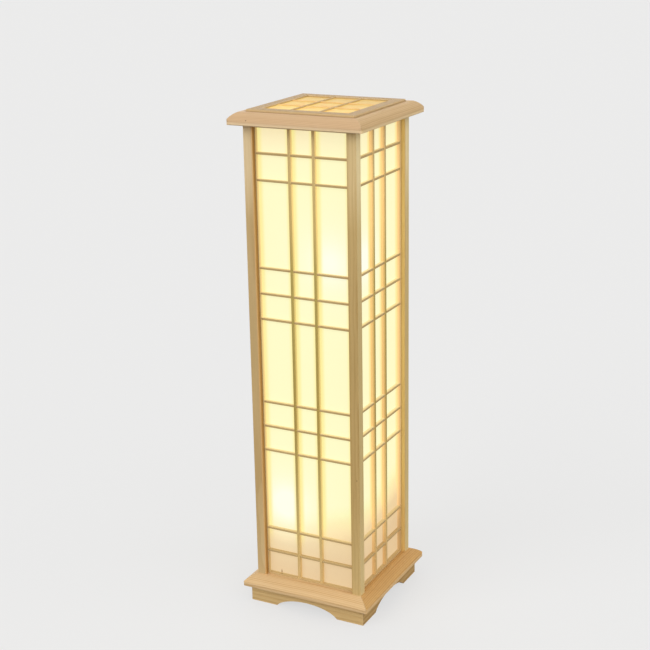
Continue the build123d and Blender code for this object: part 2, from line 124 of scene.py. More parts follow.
def remap(value, low, high, toLow=0.0, toHigh=1.0, curve="SMOOTHSTEP"):
    limits = {"Value": value, 1: low, 2: high, 3: toLow, 4: toHigh}
    return addNode(treeOf(value), "ShaderNodeMapRange", limits, interpolation_type=curve).outputs[0]


def mixColours(factor, a, b, blend="MIX"):
    return addNode(treeOf(factor, a, b), "ShaderNodeMix", {0: factor, 6: a, 7: b},
                   data_type="RGBA", blend_type=blend).outputs[2]


def rampColours(value, stops):
    node = addNode(treeOf(value), "ShaderNodeValToRGB", {0: value})
    elements = node.color_ramp.elements
    while len(elements) < len(stops):
        elements.new(0.5)
    for element, (at, code) in zip(elements, stops):
        element.position = at
        element.color = colour(code)
    return node.outputs[0]


def rampByLevel(level, stops):
    # Colours by level in metres, from the foot up
    return rampColours(over(level, lampHeight), [(at / lampHeight, code) for at, code in stops])


def stretchedNoise(spot, stretch, detail=2.0, roughness=0.5, output="Fac"):
    # Noise with so many spots to the metre along each axis
    spread = vectorCalc("MULTIPLY", spot, stretch)
    return addNode(treeOf(spread), "ShaderNodeTexNoise", {
        "Vector": spread, "Scale": 1.0, "Detail": detail, "Roughness": roughness}).outputs[output]


def newGroup(name, kind, inputs, outputs):
    tree = bpy.data.node_groups.new(name, kind)
    for label, socketType, value in inputs:
        socket = tree.interface.new_socket(label, in_out="INPUT",
                                           socket_type="NodeSocket" + socketType)
        if value is not None:
            socket.default_value = value
    for label, socketType in outputs:
        tree.interface.new_socket(label, in_out="OUTPUT", socket_type="NodeSocket" + socketType)
    return tree, tree.nodes.new("NodeGroupInput").outputs, tree.nodes.new("NodeGroupOutput").inputs


def feed(tree, sockets, results):
    # Each result goes into the socket of its name
    for label, result in results.items():
        tree.links.new(result, sockets[label])
    return tree


def place(tree, group, values):
    # A shared effect, with the values of the material that it stands in
    return addNode(tree, "ShaderNodeGroup", values, node_tree=group).outputs


# Shared effects

def pineGrainGroup():
    # Growth rings about a far pith, fine fibres and slow changes of tone; the grain runs along X
    tree, given, made = newGroup("pineGrain", "ShaderNodeTree", [
        ("Place", "Vector", None), ("Pith", "Vector", (0.0, 0.0, 0.0)),
        ("Early Wood", "Color", colour("dcc096")), ("Late Wood", "Color", colour("b98f58")),
        ("Ring Width", "Float", 0.003), ("Wander", "Float", 0.006), ("Ring Contrast", "Float", 0.5),
        ("Fibre Contrast", "Float", 0.4), ("Tone Spread", "Float", 0.1),
    ], [("Colour", "Color"), ("Roughness", "Float"), ("Height", "Float")])
    spot = given["Place"]
    drift = stretchedNoise(spot, (3.5, 14.0, 14.0), 2.0, 0.55, "Color")
    drift = vectorCalc("SUBTRACT", drift, (0.5, 0.5, 0.5))
    bent = vectorCalc("ADD", spot, scaled(drift, given["Wander"]))
    fromPith = vectorCalc("SUBTRACT", bent, given["Pith"])
    fromPith = vectorCalc("MULTIPLY", fromPith, (0.0, 1.0, 1.0))
    ring = over(vectorCalc("LENGTH", fromPith), given["Ring Width"])
    phase = calc("FRACT", ring)
    yearly = addNode(tree, "ShaderNodeTexWhiteNoise", {"W": calc("FLOOR", ring)},
                     noise_dimensions="1D").outputs["Value"]
    # late wood comes up slowly and ends sharply, stronger in some years
    late = times(remap(phase, 0.3, 0.9), remap(phase, 0.9, 1.0, 1.0, 0.0))
    late = times(late, calc("MULTIPLY_ADD", yearly, 0.7, 0.3))
    fibre = stretchedNoise(spot, (14.0, 1300.0, 1300.0), 2.0, 0.6)
    streak = stretchedNoise(spot, (2.5, 210.0, 210.0), 2.0, 0.6)
    fine = minus(plus(fibre, streak), 1.0)
    amount = plus(times(late, given["Ring Contrast"]), times(fine, given["Fibre Contrast"]))
    wood = mixColours(plus(amount, 0.18), given["Early Wood"], given["Late Wood"])
    tone = stretchedNoise(spot, (1.6, 11.0, 11.0), 1.0)
    shade = calc("MULTIPLY_ADD", minus(tone, 0.5), given["Tone Spread"], 1.0)
    return feed(tree, made, {
        "Colour": scaled(wood, shade),
        "Roughness": calc("MULTIPLY_ADD", plus(fibre, late), 0.1, 0.50),
        "Height": minus(fibre, times(late, 0.6)),
    })


def arrisWearAndSheenGroup():
    # 1 on eased and handled edges, broken up a little; pine pales there, wear and a painted highlight,
    # moulded finishes take scuffs
    tree, given, made = newGroup("arrisWearAndSheen", "ShaderNodeTree", [
        ("Place", "Vector", None), ("Reach", "Float", 0.0012), ("Amount", "Float", 0.6),
    ], [("Mask", "Float")])
    rounded = addNode(tree, "ShaderNodeBevel", {"Radius": given["Reach"]}, samples=4).outputs[0]
    bend = minus(1.0, vectorCalc("DOT_PRODUCT", rounded, surfaceNormal(tree)))
    broken = stretchedNoise(given["Place"], (60.0, 240.0, 240.0))
    mask = times(remap(bend, 0.01, 0.12), remap(broken, 0.3, 0.6, 0.4, 1.0))
    return feed(tree, made, {"Mask": times(mask, given["Amount"])})


def pinKnotGroup():
    # A small dark knot with a soft rim round it
    tree, given, made = newGroup("pinKnot", "ShaderNodeTree", [
        ("Place", "Vector", None), ("Spot", "Vector", (0.0, 0.0, 0.0)), ("Radius", "Float", 0.001),
    ], [("Mask", "Float")])
    wobble = stretchedNoise(given["Place"], (900.0, 900.0, 900.0))
    far = over(vectorCalc("DISTANCE", given["Place"], given["Spot"]), given["Radius"])
    far = plus(far, times(minus(wobble, 0.5), 0.8))
    return feed(tree, made, {"Mask": remap(far, 0.5, 1.4, 1.0, 0.0)})


def washiGroup():
    # Clouding and fine fibres of a sheet of paper
    tree, given, made = newGroup("washi", "ShaderNodeTree", [
        ("Place", "Vector", None), ("Cloud Size", "Float", 0.03), ("Fibre Size", "Float", 0.002),
    ], [("Cloud", "Float"), ("Fibre", "Float"), ("Height", "Float")])
    broad, fine = (scaled(given["Place"], over(1.0, given[size]))
                   for size in ("Cloud Size", "Fibre Size"))
    cloud = addNode(tree, "ShaderNodeTexNoise", {"Vector": broad, "Scale": 1.0, "Detail": 3.0}).outputs["Fac"]
    fibre = addNode(tree, "ShaderNodeTexNoise", {
        "Vector": fine, "Scale": 1.0, "Detail": 4.0, "Distortion": 1.5}).outputs["Fac"]
    return feed(tree, made, {"Cloud": cloud, "Fibre": remap(fibre, 0.35, 0.65),
                             "Height": plus(fibre, times(cloud, 0.5))})


def bulbGlowGroup():
    # How brightly a bulb lights what stands near it
    tree, given, made = newGroup("bulbGlow", "ShaderNodeTree", [
        ("Place", "Vector", None), ("Bulb", "Vector", (0.0, 0.0, 0.0)), ("Reach", "Float", 0.05),
    ], [("Glow", "Float")])
    far = over(vectorCalc("DISTANCE", given["Place"], given["Bulb"]), given["Reach"])
    return feed(tree, made, {"Glow": over(1.0, calc("POWER", far, 3.0))})


def creviceGroup():
    # 1 where walls crowd in on a point, 0 in the open: a mask for painted shade
    tree, given, made = newGroup("crevice", "ShaderNodeTree", [
        ("Reach", "Float", 0.003),
    ], [("Mask", "Float")])
    openness = addNode(tree, "ShaderNodeAmbientOcclusion", {"Distance": given["Reach"]},
                       samples=8).outputs["AO"]
    return feed(tree, made, {"Mask": remap(openness, 0.5, 1.0, 1.0, 0.0, "LINEAR")})


# dimmer towards the foot and under the lid: levels, and the share of light at each
duskFoot = (0.09, 0.18, 0.35, 1.0)
duskHead = (0.78, 0.87, 1.0, 0.65)


def paperGlowGroup():
    # Light of the lit paper on the sides of a bar, by the way they face: less near its front, none on it
    tree, given, made = newGroup("paperGlow", "ShaderNodeTree", [
        ("Place", "Vector", None), ("Paper", "Float", 0.0895), ("Front", "Float", 0.0970),
        ("Least", "Float", 0.3), ("Facing X", "Color", colour("c0b07c")),
        ("Facing Y", "Color", colour("e0b684")), ("Facing Z", "Color", colour("cbc795")),
    ], [("Light", "Color")])
    apart = split(given["Place"])
    away = [absolute(apart[i]) for i in (0, 1)]
    normal = split(surfaceNormal(tree))
    facing = [absolute(normal[i]) for i in range(3)]
    alongY = calc("GREATER_THAN", away[1], away[0])
    outward = addNode(tree, "ShaderNodeMix", {0: alongY, 2: facing[0], 3: facing[1]}).outputs[0]
    depth = remap(calc("MAXIMUM", *away), given["Paper"], given["Front"],
                  1.0, given["Least"], "LINEAR")
    dusk = calc("MINIMUM", remap(apart[2], *duskFoot), remap(apart[2], *duskHead))
    amount = times(times(depth, dusk), minus(1.0, outward))
    light = mixColours(alongY, given["Facing Y"], given["Facing X"])
    light = mixColours(facing[2], light, scaled(given["Facing Z"], dusk))
    return feed(tree, made, {"Light": scaled(light, amount)})


def barFringeGroup():
    # 1 on the paper close beside an upright or a stile
    tree, given, made = newGroup("barFringe", "ShaderNodeTree", [
        ("Place", "Vector", None), ("Bar Offset", "Float", 0.0225), ("Half Bar", "Float", 0.0025),
        ("Clear Half", "Float", 0.0850), ("Full", "Float", 0.0020), ("Reach", "Float", 0.0110),
    ], [("Mask", "Float")])
    apart = split(given["Place"])
    along = calc("MINIMUM", *[absolute(apart[i]) for i in (0, 1)])
    fromBar = absolute(minus(along, given["Bar Offset"]))
    fromBar = minus(fromBar, given["Half Bar"])
    near = calc("MINIMUM", fromBar, minus(given["Clear Half"], along))
    return feed(tree, made, {"Mask": remap(near, given["Full"], given["Reach"], 1.0, 0.0)})


def mitreLineGroup():
    # 1 on the joint where two mitred lengths meet
    tree, given, made = newGroup("mitreLine", "ShaderNodeTree", [
        ("Place", "Vector", None), ("Width", "Float", 0.0004),
    ], [("Mask", "Float")])
    apart = split(given["Place"])
    off = minus(absolute(apart[0]), absolute(apart[1]))
    return feed(tree, made, {"Mask": remap(absolute(off), 0.0, given["Width"], 1.0, 0.0)})


pineGrain, arrisWearAndSheen, pinKnot = pineGrainGroup(), arrisWearAndSheenGroup(), pinKnotGroup()
washi, bulbGlow, crevice = washiGroup(), bulbGlowGroup(), creviceGroup()
paperGlow, mitreLine, barFringe = paperGlowGroup(), mitreLineGroup(), barFringeGroup()
print("groups: grain, wear, knot, washi, glow, crevice, mitre and fringe built")


# Finishes

def newMaterial(name, settings):
    # A Principled material; numbers and colours go straight on its own sockets
    material = bpy.data.materials.new(name)
    material.use_nodes = True
    shader = material.node_tree.nodes["Principled BSDF"]
    for label, value in settings.items():
        shader.inputs[label].default_value = value
    return material, material.node_tree, shader


def bump(height, distance):
    values = {"Height": height, "Distance": distance, "Strength": 1.0}
    return addNode(treeOf(height), "ShaderNodeBump", values).outputs[0]


runTurns = {"x": (0.0, 0.0, 0.0), "y": (0.0, 0.0, -math.pi / 2), "z": (0.0, math.pi / 2, 0.0)}


def grainPlace(tree, run):
    # Object coordinates turned so that the grain runs along X, for one direction or for a frame of two
    spot = objectPlace(tree)

    def along(way):
        return addNode(tree, "ShaderNodeMapping", {"Vector": spot, "Rotation": runTurns[way]}).outputs[0]

    if run in runTurns:
        return along(run)
    apart = split(spot)
    if run == "mitred":
        first, second = "y", "x"
        wider = calc("GREATER_THAN", absolute(apart[1]), absolute(apart[0]))
    else:
        # "railsX" and "railsY": rails at the head and foot of a lattice side, stiles between
        first, second = "z", run[-1].lower()
        low, high = (corner.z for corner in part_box("front_lattice_uprights"))
        aboveFoot = calc("GREATER_THAN", apart[2], low)
        underHead = calc("LESS_THAN", apart[2], high)
        wider = minus(1.0, times(aboveFoot, underHead))
    return addNode(tree, "ShaderNodeMix", {0: wider, 4: along(first), 5: along(second)},
                   data_type="VECTOR").outputs[1]


# pith as (0, inwards, up) from the run of the grain; sizes in metres; crevice is the reach of the painted
# shade where walls meet
commonPine = {"pith": (0.0, -0.30, 0.72), "ringWidth": 0.0026, "wander": 0.008, "rings": 0.40,
              "fibres": 0.45, "spread": 0.14, "arris": 0.0012, "crevice": 0.0025}
pineLooks = {
    # tones of early and late wood, and what differs from the common pine; the looks for the right and back
    # are darker: painted shade on the faces away from the key light
    "post": {"early": "ead3aa", "late": "bf9e67", "pith": (0.0, 0.23, 0.11), "ringWidth": 0.0034,
             "wander": 0.010, "rings": 0.42, "spread": 0.22},
    "lidFront": {"early": "d6b58e", "late": "b38b5c", "crevice": 0.0045, "foot": ("f6d9ae", 0.8785, 0.8825)},
    "lidSide": {"early": "d5b586", "late": "ad8551", "pith": (0.0, -0.26, 0.76), "ringWidth": 0.0030,
                "wander": 0.009, "rings": 0.45, "spread": 0.16, "crevice": 0.0070,
                "foot": ("f6daa8", 0.8785, 0.8825)},
    "baseFront": {"early": "e0c092", "late": "bb8f54", "pith": (0.0, -0.29, -0.075), "ringWidth": 0.0036,
                  "wander": 0.022, "rings": 0.60},
    "baseSide": {"early": "d8ad6e", "late": "b07c3e", "pith": (0.0, -0.27, -0.060), "ringWidth": 0.0038,
                 "wander": 0.022, "rings": 0.60, "upright": ("eecb97", 0.5)},
    # the lid frame's darker tones and paler standing faces paint its top in shade and its walls lit
    "lidFrame": {"early": "b8996a", "late": "977442", "arris": 0.0022, "crevice": 0.0018,
                 "upright": ("dcc192", 0.95)},
    "apronFront": {"early": "ddbd84", "late": "bc9258", "pith": (0.0, -0.30, -0.050), "rings": 0.35,
                   "fibres": 0.50, "spread": 0.16},
    "apronSide": {"early": "caa669", "late": "a37840", "pith": (0.0, -0.30, -0.050), "rings": 0.50,
                  "fibres": 0.50, "spread": 0.16},
    "lattice": {"early": "cdb07c", "late": "a4834c", "pith": (0.0, 0.04, 0.03), "wander": 0.004,
                "spread": 0.20},
    "upright": {"early": "e4c890", "late": "bc9a5e", "pith": (0.0, 0.04, 0.03), "wander": 0.004,
                "spread": 0.20,
                # painted shade by level, darker where the paper behind is brightest
                "shadeByLevel": [(0.080, "fdf8ee"), (0.120, "fbf8e8"), (0.200, "e8eed8"), (0.350, "d2ce9c"),
                          (0.500, "d4d6aa"), (0.640, "dee2b8"), (0.710, "f6f5de"), (0.870, "ffffff")]},
    "hidden": {"early": "dcc294", "late": "b58b54", "pith": (0.0, 0.09, 0.16), "ringWidth": 0.0042,
               "wander": 0.012, "rings": 0.60, "fibres": 0.5, "spread": 0.25},
}
# paler arrises: wear, and a painted highlight where the edges catch the light
wearAndSheenPine = colour("e6d0a8")
knotBrown = colour("6d4a26")
jointBrown = colour("8a6436")
cornerShadeBrown = colour("8b6230")
pineEffects = {
    # how strongly each shows; standing and foot are painted light
    "knots": 0.8, "joints": 0.6, "standing": 0.6, "foot": 0.85,
    "slopeEase": 0.35,            # over which the painted light on standing faces comes up
    "underside": (-0.95, -0.8),   # faces below this slope have no painted light band along the foot
    "bump": 0.00025,
}


def pineGrainOn(tree, spot, values):
    return place(tree, pineGrain, {
        "Place": spot, "Pith": values["pith"], "Early Wood": colour(values["early"]),
        "Late Wood": colour(values["late"]), "Ring Width": values["ringWidth"], "Wander": values["wander"],
        "Ring Contrast": values["rings"], "Fibre Contrast": values["fibres"], "Tone Spread": values["spread"],
    })


def pineMaterial(name, look, run, knots=(), attribute=None, mitred=False, corners=0.0, glow=False, wearAndSheen=0.55):
    # corners puts painted shade where walls meet; the wear amount pales the arrises, wear and a painted
    # highlight; glow puts the paper's light on its sides
    values, effects = {**commonPine, **pineLooks[look]}, pineEffects
    material, tree, shader = newMaterial(name, {
        "Specular IOR Level": 0.22, "Emission Strength": 1.0 if glow else 0.0})
    if attribute:
        spot = addNode(tree, "ShaderNodeAttribute", attribute_name=attribute).outputs["Vector"]
    else:
        spot = grainPlace(tree, run)
    at = objectPlace(tree)
    grain = pineGrainOn(tree, spot, values)
    # paler arrises: wear, and a painted highlight where the edges catch the light
    arrisMask = place(tree, arrisWearAndSheen, {"Place": spot, "Amount": wearAndSheen, "Reach": values["arris"]})["Mask"]
    wood = mixColours(arrisMask, grain["Colour"], wearAndSheenPine)
    for knot, radius in knots:
        dark = place(tree, pinKnot, {"Place": at, "Spot": knot, "Radius": radius})["Mask"]
        wood = mixColours(times(dark, effects["knots"]), wood, knotBrown)
    if mitred:
        joint = place(tree, mitreLine, {"Place": at})["Mask"]
        wood = mixColours(times(joint, effects["joints"]), wood, jointBrown)
    if "upright" in values:
        # painted light: faces that stand, and the arrises that turn towards them, up to a slope, take a paler
        # tint
        tint, slope = values["upright"]
        standing = remap(facingUp(tree), slope - effects["slopeEase"], slope, effects["standing"], 0.0)
        wood = mixColours(standing, wood, colour(tint))
    if "foot" in values:
        # painted light: a paler band along the foot, where the turned-down arris falls in shade, not on the
        # underside
        tint, low, high = values["foot"]
        band = remap(split(at)[2], low, high, effects["foot"], 0.0)
        band = times(band, remap(facingUp(tree), *effects["underside"]))
        wood = mixColours(band, wood, colour(tint))
    if "shadeByLevel" in values:
        # painted shade by level
        tone = rampByLevel(split(at)[2], values["shadeByLevel"])
        wood = mixColours(1.0, wood, tone, "MULTIPLY")
    if corners:
        # painted shade: darker brown where walls crowd in
        deep = place(tree, crevice, {"Reach": values["crevice"]})["Mask"]
        wood = mixColours(times(deep, corners), wood, cornerShadeBrown)
    if glow:
        feed(tree, shader.inputs, {"Emission Color": place(tree, paperGlow, {"Place": at})["Light"]})
    feed(tree, shader.inputs, {"Base Color": wood, "Roughness": grain["Roughness"],
                               "Normal": bump(grain["Height"], effects["bump"])})
    return material


bulbs = {
    "upper": {"spot": (0.046, -0.042), "foot": 0.5652, "centre": (0.046, -0.042, 0.6498)},
    "lower": {"spot": (-0.048, -0.048), "foot": 0.1102, "centre": (-0.048, -0.048, 0.1948)},
}


def bulbLight(tree, spot, reach):
    glows = [place(tree, bulbGlow, {"Place": spot, "Bulb": bulb["centre"], "Reach": reach})["Glow"]
             for bulb in bulbs.values()]
    return plus(*glows)


sidePaperLook = {
    "sheet": "8f8672",            # unlit
    "fibre": "7d745f",
    "reach": 0.047,               # of a bulb's bright patch
    "bright": "e5e9db",           # there
    "dusk": 0.35,                 # how much sooner the light fades for each metre away from the lower bulb
    "nearest": 0.041,             # the paper that is nearest to the lower bulb
    "clouding": 0.02,             # of the levels, in metres
    # light by level in metres, from the foot up
    "stops": [(0.070, "c7a87c"), (0.115, "d2b685"), (0.135, "e3cc94"), (0.150, "e2d699"), (0.165, "e2e2a8"),
              (0.185, "e5e4b3"), (0.790, "e5e4b3"), (0.835, "e8dfb2"), (0.870, "e8d9ac")],
}
# light on the paper beside the bars
paperFringes = {"front": "e5da8c", "right": "e5d288", "back": "e5da8c", "left": "e5d288"}
fleck = {"spot": (-0.0622, -0.0895, 0.0568), "turn": 0.9, "long": 3.6, "radius": 0.0012, "depth": 0.8}


def paperTint(sheet, look):
    return mixColours(times(sheet["Fibre"], 0.3), colour(look["sheet"]), colour(look["fibre"]))


def sidePaperMaterial(side):
    look = sidePaperLook
    material, tree, shader = newMaterial(side + "PaperLit", {
        "Roughness": 0.55, "Emission Strength": 1.0, "Specular IOR Level": 0.2})
    spot = objectPlace(tree)
    sheet = place(tree, washi, {"Place": spot, "Cloud Size": 0.05, "Fibre Size": 0.0015})
    flat = vectorCalc("MULTIPLY", spot, (1.0, 1.0, 0.0))
    far = vectorCalc("DISTANCE", flat, (*bulbs["lower"]["spot"], 0.0))
    level = split(spot)[2]
    level = minus(level, times(minus(far, look["nearest"]), look["dusk"]))
    level = plus(level, times(minus(sheet["Cloud"], 0.5), look["clouding"]))
    lit = rampByLevel(level, look["stops"])
    glow = calc("MINIMUM", bulbLight(tree, spot, look["reach"]), 1.0)
    lit = mixColours(glow, lit, colour(look["bright"]))
    beside = place(tree, barFringe, {"Place": spot})["Mask"]
    fringe = mixColours(1.0, colour(paperFringes[side]), lit, "DARKEN")
    lit = mixColours(beside, lit, fringe)
    tint = paperTint(sheet, look)
    if side == "front":
        fromFleck = vectorCalc("SUBTRACT", spot, fleck["spot"])
        slanted = addNode(tree, "ShaderNodeMapping", {
            "Vector": fromFleck, "Rotation": (0.0, fleck["turn"], 0.0),
            "Scale": (1.0, 1.0, 1.0 / fleck["long"])}).outputs[0]
        mark = place(tree, pinKnot, {"Place": slanted, "Radius": fleck["radius"]})["Mask"]
        mark = times(mark, fleck["depth"])
        tint, lit = (mixColours(mark, under, knotBrown) for under in (tint, lit))
    feed(tree, shader.inputs, {"Base Color": tint, "Emission Color": lit,
                               "Normal": bump(sheet["Height"], 0.00008)})
    return material


parchmentLook = {
    "sheet": "a08048",
    "fibre": "866630",
    "stops": [(0.25, "b08428"), (0.45, "be9d3e"), (0.62, "c8ad52"), (0.80, "d2c068")],
    "streaks": 0.75, "clouding": 0.3,       # how far each moves the light along the stops
    "stain": "bd8428",
    "stains": (0.52, 0.72, 0.0, 0.8),       # from none to the strongest
    "fade": (-0.06, 0.06, 1.0, 0.66),       # from front to back, the share of light
}


def parchmentMaterial():
    look = parchmentLook
    material, tree, shader = newMaterial("lidParchmentLit", {
        "Roughness": 0.5, "Emission Strength": 1.0, "Specular IOR Level": 0.2})
    spot = objectPlace(tree)
    sheet = place(tree, washi, {"Place": spot, "Cloud Size": 0.016, "Fibre Size": 0.0016})
    streaks = stretchedNoise(spot, (16.0, 120.0, 120.0), 2.0, 0.6)
    clouding = times(sheet["Cloud"], look["clouding"])
    light = calc("MULTIPLY_ADD", streaks, look["streaks"], clouding)
    stains = stretchedNoise(spot, (38.0, 60.0, 60.0), 1.0)
    lit = mixColours(remap(stains, *look["stains"]),
                     rampColours(light, look["stops"]), colour(look["stain"]))
    fade = remap(split(spot)[1], *look["fade"], "LINEAR")
    feed(tree, shader.inputs, {
        "Base Color": paperTint(sheet, look), "Emission Color": scaled(lit, fade),
        "Normal": bump(sheet["Height"], 0.0001)})
    return material


plyLook = {"early": "dcc597", "late": "cdb17f", "pith": (0.0, 0.05, -0.35), "ringWidth": 0.004,
           "wander": 0.006, "rings": 0.45, "fibres": 0.45, "spread": 0.12,
           "pair": 0.0036, "crossPly": "a37c4c"}


def plywoodMaterial():
    # Plies show on the edges alone, pair by pair
    look = plyLook
    material, tree, shader = newMaterial("birchPly", {"Specular IOR Level": 0.3})
    spot = objectPlace(tree)
    grain = pineGrainOn(tree, spot, look)
    ply = calc("FRACT", over(split(spot)[2], look["pair"]))
    onEdge = calc("LESS_THAN", absolute(facingUp(tree)), 0.5)
    dark = times(calc("GREATER_THAN", ply, 0.5), onEdge)
    feed(tree, shader.inputs, {
        "Base Color": mixColours(dark, grain["Colour"], colour(look["crossPly"])),
        "Roughness": grain["Roughness"], "Normal": bump(grain["Height"], 0.0002)})
    return material


mouldedLooks = {
    # colour, darker colour of scuffs, roughness, scuffs to the metre, depth of bump, plain settings
    "holderCeramic": ("f1eee6", "ebe7de", 0.22, 60.0, 0.00010, {"Coat Weight": 0.5, "Coat Roughness": 0.12}),
    "bulbCollarPlastic": ("f0eee8", "eae7df", 0.38, 120.0, 0.00003, {}),
    "grommetRubber": ("2a2a2a", "3b3a38", 0.75, 500.0, 0.00008, {"Specular IOR Level": 0.3}),
    "leadSheath": ("e9e7e0", "d6d2c8", 0.45, 150.0, 0.00004, {}),
    "clipNylon": ("e6e4dc", "d2cec4", 0.42, 300.0, 0.00003, {}),
    "terminalPlastic": ("dedbd0", "d6d2c6", 0.50, 140.0, 0.00004, {}),
    "screwSteel": ("b9b7b0", "8f8c84", 0.32, 500.0, 0.00004, {"Metallic": 1.0}),
    "contactBrass": ("c9a25a", "9a7638", 0.30, 400.0, 0.00004, {"Metallic": 1.0}),
    "capNickel": ("c4c2bc", "99968e", 0.28, 300.0, 0.00004, {"Metallic": 1.0}),
    "capGlass": ("2b2622", "3b352f", 0.20, 300.0, 0.00003, {}),
    "capSolder": ("a9a8a3", "84827c", 0.42, 600.0, 0.00010, {"Metallic": 1.0}),
}


def mouldedMaterial(name):
    # Moulded, glazed or metal finish: faint mottling in colour and roughness, a fine skin in the bump
    plain, scuffed, rough, spots, depth, settings = mouldedLooks[name]
    material, tree, shader = newMaterial(name, settings)
    spot = objectPlace(tree)
    mottle = stretchedNoise(spot, (spots,) * 3, 3.0, 0.6)
    arrisMask = place(tree, arrisWearAndSheen, {"Place": spot, "Reach": 0.0006, "Amount": 0.35})["Mask"]
    amount = calc("MAXIMUM", remap(mottle, 0.45, 0.75, 0.0, 0.6), arrisMask)
    feed(tree, shader.inputs, {
        "Base Color": mixColours(amount, colour(plain), colour(scuffed)),
        "Roughness": calc("MULTIPLY_ADD", mottle, 0.16, rough - 0.08),
        "Normal": bump(mottle, depth)})
    return material


opalLook = {"unlit": ("b4ab98", "a89f8a"), "lit": ("fff4da", "ffedc4"), "strength": 0.85, "clouds": 70.0}


def opalMaterial():
    # A lit dome, so that it reads as a bulb when the lid is off
    look = opalLook
    material, tree, shader = newMaterial("bulbOpalLit", {
        "Roughness": 0.35, "Emission Strength": look["strength"]})
    cloud = stretchedNoise(objectPlace(tree), (look["clouds"],) * 3)
    feed(tree, shader.inputs, {
        "Base Color": mixColours(cloud, *map(colour, look["unlit"])),
        "Emission Color": mixColours(cloud, *map(colour, look["lit"])),
        "Normal": bump(cloud, 0.00005)})
    return material


def dress(material, *names):
    # A CAD node's own slots take the material
    for name in names:
        slots = nodes[name].material_slots
        if not slots:
            nodes[name].data.materials.append(material)
        for slot in slots:
            slot.material = material


postLook = {
    # painted shade by level in metres, from the foot up
    "shadeByLevel": [(0.080, "e6dfd0"), (0.140, "e2dac8"), (0.220, "dad0bb"), (0.400, "dad0bb"), (0.480, "d6ccb6"),
              (0.620, "dfd6c4"), (0.710, "e4dcca"), (0.790, "fbf9f8"), (0.870, "ffffff")],
    # lift brightens the whole post against its painted shade
    "lift": (1.29, 1.38, 1.30),
    # lips end at this distance from the middle, painted dark facing X and golden facing Y, and a painted warm
    # highlight stripe runs beside them
    "lip": 0.0869, "lipEdge": 0.0008, "lipShadeFacingX": "b98a4c", "lipLightFacingY": "efcd82",
    "highlightStripe": 0.0905, "stripeDepth": 0.85,
}


def postMaterial(name, facingYShade, highlightStripe, knots=()):
    # Painted light and shade: paler towards the lid, the lips over the panels painted dark where they face X
    # and golden where they face Y, with a painted warm highlight stripe on their arris
    look = postLook
    material = pineMaterial(name, "post", "z", knots)
    tree, shader = material.node_tree, material.node_tree.nodes["Principled BSDF"]
    wood = shader.inputs["Base Color"].links[0].from_socket
    apart = split(objectPlace(tree))
    wood = mixColours(1.0, wood, rampByLevel(apart[2], look["shadeByLevel"]), "MULTIPLY")
    wood = vectorCalc("MULTIPLY", wood, look["lift"])
    facing = absolute(split(surfaceNormal(tree))[1])
    # painted shade on the faces along Y, so that faces along X come out lighter
    wood = mixColours(facing, wood, mixColours(1.0, wood, colour(facingYShade), "MULTIPLY"))
    inner = calc("MINIMUM", *[absolute(apart[i]) for i in (0, 1)])
    # a painted warm highlight on the arris beside the lips, on faces along Y
    warm = remap(inner, look["lip"], look["highlightStripe"], look["stripeDepth"], 0.0)
    wood = mixColours(times(warm, facing), wood, colour(highlightStripe))
    # painted shade on lips facing X, painted light on lips facing Y
    atLip = mixColours(facing, colour(look["lipShadeFacingX"]), colour(look["lipLightFacingY"]))
    lip = remap(inner, look["lip"], look["lip"] + look["lipEdge"], 1.0, 0.0)
    feed(tree, shader.inputs, {"Base Color": mixColours(lip, wood, atLip)})
    return material


finishes = {name: mouldedMaterial(name) for name in mouldedLooks}
# knots as (place, radius)
lidKnot = ((-0.0865, -0.1236, 0.8850), 0.0011)
postKnot = ((0.0996, -0.1044, 0.2722), 0.0010)
railKnot = ((-0.0594, -0.0945, 0.0550), 0.0014)
# the right and back take the darker looks: painted shade on the faces away from the key light
for side, along, face in (("front", "x", "Front"), ("right", "y", "Side"),
                          ("back", "x", "Side"), ("left", "y", "Front")):
    lidKnots, railKnots = ((lidKnot,), (railKnot,)) if side == "front" else ((), ())
    dress(pineMaterial(side + "LidMouldingPine", "lid" + face, along, lidKnots, mitred=True, corners=0.7),
          "lid_moulding_" + side)
    dress(pineMaterial(side + "BaseMouldingPine", "base" + face, along, mitred=True), "base_moulding_" + side)
    dress(pineMaterial(side + "ApronPine", "apron" + face, along, mitred=True), "base_apron_" + side)
    dress(pineMaterial(side + "FramePine", "lattice", "rails" + along.upper(), railKnots, glow=True),
          side + "_panel_frame")
    dress(sidePaperMaterial(side), side + "_paper")
# each post's colours are the painted shade on faces along Y and its painted highlight stripe
dress(postMaterial("leftPostPine", "e7e0e4", "e0ad72"),
      "post_front_left", "post_back_left", "post_back_right")
dress(postMaterial("nearPostPine", "e4dbd0", "b99458", (postKnot,)), "post_front_right")
dress(pineMaterial("lidFramePine", "lidFrame", "mitred", mitred=True, corners=0.6, wearAndSheen=0.9), "lid_frame")
dress(pineMaterial("cleatPine", "hidden", "mitred"), "lid_cleats")
dress(pineMaterial("battenPine", "hidden", "z"), "upper_batten", "lower_batten", "corner_glue_blocks")
dress(plywoodMaterial(), "bottom_board")
dress(parchmentMaterial(), "lid_paper")
dress(opalMaterial(), "upper_bulb_diffuser", "lower_bulb_diffuser")
for finish, names in (("contactBrass", ("upper_holder_contacts", "lower_holder_contacts")),
                      ("grommetRubber", ("cord_grommet",)), ("leadSheath", ("upper_lead", "lower_lead")),
                      ("clipNylon", ("lead_clips",)), ("terminalPlastic", ("terminal_block",))):
    dress(finishes[finish], *names)
print("finishes: CAD nodes dressed")


# Geometry Nodes: lattice bars, screws and threads

def shape(tree, kind, inputs=None, **settings):
    # A step of Geometry Nodes, and what comes out of it
    return addNode(tree, "GeometryNode" + kind, inputs, **settings).outputs[0]


def pointPlace(tree):
    return shape(tree, "InputPosition")


